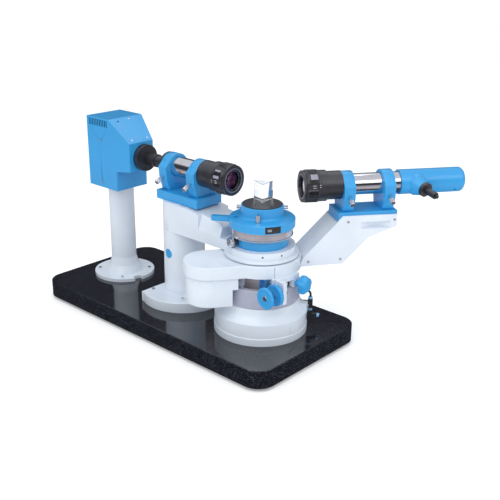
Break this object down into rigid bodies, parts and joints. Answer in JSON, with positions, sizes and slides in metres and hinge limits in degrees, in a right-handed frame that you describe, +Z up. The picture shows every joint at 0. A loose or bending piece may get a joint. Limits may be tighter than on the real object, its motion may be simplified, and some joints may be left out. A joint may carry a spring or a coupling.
{
  "type": "prism spectrometer goniometer",
  "caption": "Bench goniometer on a stone slab: lamp house, fixed collimator, turning prism table and a telescope with camera head on a swinging arm.",
  "frame": {"origin": "middle of the bounding box, on the plane that the four feet rest on", "axes": "+X along the slab from the lamp end to the goniometer end, +Y across it away from the clamp screws, +Z up"},
  "size_m": [1.0646, 0.6752, 0.564],
  "materials": {
    "bare_aluminium": "bare",
    "black_anodised": "black anodised",
    "black_plastic": "moulded",
    "blue_paint": "satin blue paint",
    "cast_weight": "as cast",
    "circuit_board": "circuit board",
    "fitting_plastic": "moulded light blue",
    "foot_rubber": "matt",
    "granite": null,
    "grey_drum": "satin grey paint",
    "optical_glass": "polished optical glass",
    "steel": "turned and polished",
    "white_paint": "satin cool white paint"
  },
  "bodies": {
    "base": {"granite_slab": "granite", "rubber_feet": "foot_rubber", "lamp_column": "white_paint", "lamp_base_plate": "bare_aluminium", "lamp_housing": "blue_paint", "lamp_socket": "black_plastic", "lamp_bulb": "optical_glass", "lamp_port_flange": "black_anodised", "condenser_tube": "black_anodised", "condenser_lens": "optical_glass", "collimator_flange": "white_paint", "collimator_column": "white_paint", "bridge_arm": "white_paint", "frame_screws": "steel", "goniometer_base": "white_paint", "goniometer_drum": "grey_drum", "spindle": "steel", "air_fittings": "black_plastic", "air_collars": "fitting_plastic", "stage_disc": "blue_paint", "graduated_ring": "steel", "table_clamp_collar": "black_anodised", "collimator_cradle": "blue_paint", "collimator_yokes": "blue_paint", "collimator_tube": "steel", "slit_unit": "black_anodised", "collimator_barrel": "black_anodised", "collimator_objective": "optical_glass"},
    "table_clamp": {"table_clamp_knob": "steel"},
    "prism_table": {"table_flange": "blue_paint", "index_window": "black_anodised", "table_screws": "steel", "table_plate": "black_anodised", "table_spindle": "steel", "prism": "optical_glass"},
    "collimator_clamp_1": {"collimator_front_clamp": "steel"},
    "collimator_clamp_2": {"collimator_rear_clamp": "steel"},
    "collimator_focus": {"collimator_focus_ring": "black_anodised"},
    "telescope_arm": {"arm_hub": "white_paint", "rotor_ring": "steel", "drive_box": "white_paint", "counterweight": "cast_weight", "arm_frame": "white_paint", "arm_side_plates": "white_paint", "arm_side_screws": "steel", "telescope_cradle": "blue_paint", "telescope_yokes": "blue_paint", "telescope_tube": "steel", "telescope_barrel": "black_anodised", "telescope_objective": "optical_glass", "camera_head": "blue_paint", "light_connector": "black_anodised", "image_sensor": "circuit_board", "drive_bracket": "white_paint"},
    "telescope_clamp_1": {"telescope_front_clamp": "steel"},
    "telescope_clamp_2": {"telescope_rear_clamp": "steel"},
    "telescope_focus": {"telescope_focus_ring": "black_anodised"},
    "fine_drive": {"fine_drive_shaft": "steel", "fine_drive_discs": "blue_paint"},
    "arm_clamp": {"arm_clamp_knob": "blue_paint"}
  },
  "joints": [
    {"name": "arm_turn", "type": "hinge", "parent": "base", "child": "telescope_arm", "pos_m": [0.18273, -0.12757, 0.242], "axis": [0, 0, 1], "range_deg": [-165, 60]},
    {"name": "table_turn", "type": "hinge", "parent": "base", "child": "prism_table", "pos_m": [0.18273, -0.12757, 0.357], "axis": [0, 0, 1], "continuous": true},
    {"name": "collimator_focus_turn", "type": "hinge", "parent": "base", "child": "collimator_focus", "pos_m": [0.05473, -0.12757, 0.455], "axis": [1, 0, 0], "range_deg": [-150, 150]},
    {"name": "telescope_focus_turn", "type": "hinge", "parent": "telescope_arm", "child": "telescope_focus", "pos_m": [0.25796, -0.02402, 0.455], "axis": [-0.5878, -0.809, 0], "range_deg": [-150, 150]},
    {"name": "collimator_front_clamp_turn", "type": "hinge", "parent": "base", "child": "collimator_clamp_1", "pos_m": [-0.04177, -0.17083, 0.432], "axis": [0, -0.8829, -0.4695], "range_deg": [0, 360]},
    {"name": "collimator_rear_clamp_turn", "type": "hinge", "parent": "base", "child": "collimator_clamp_2", "pos_m": [-0.15277, -0.17083, 0.432], "axis": [0, -0.8829, -0.4695], "range_deg": [0, 360]},
    {"name": "telescope_front_clamp_turn", "type": "hinge", "parent": "telescope_arm", "child": "telescope_clamp_1", "pos_m": [0.34969, 0.02862, 0.432], "axis": [0.7143, -0.519, -0.4695], "range_deg": [0, 360]},
    {"name": "telescope_rear_clamp_turn", "type": "hinge", "parent": "telescope_arm", "child": "telescope_clamp_2", "pos_m": [0.41493, 0.11843, 0.432], "axis": [0.7143, -0.519, -0.4695], "range_deg": [0, 360]},
    {"name": "table_clamp_turn", "type": "hinge", "parent": "base", "child": "table_clamp", "pos_m": [0.15613, -0.1934, 0.319], "axis": [-0.3746, -0.9272, 0], "range_deg": [0, 360]},
    {"name": "arm_clamp_turn", "type": "hinge", "parent": "telescope_arm", "child": "arm_clamp", "pos_m": [0.30679, -0.11234, 0.217], "axis": [0.9925, 0.1219, 0], "range_deg": [0, 360]},
    {"name": "fine_drive_turn", "type": "hinge", "parent": "telescope_arm", "child": "fine_drive", "pos_m": [0.29821, -0.1881, 0.21], "axis": [0.1219, 0.9925, 0], "continuous": true}
  ]
}
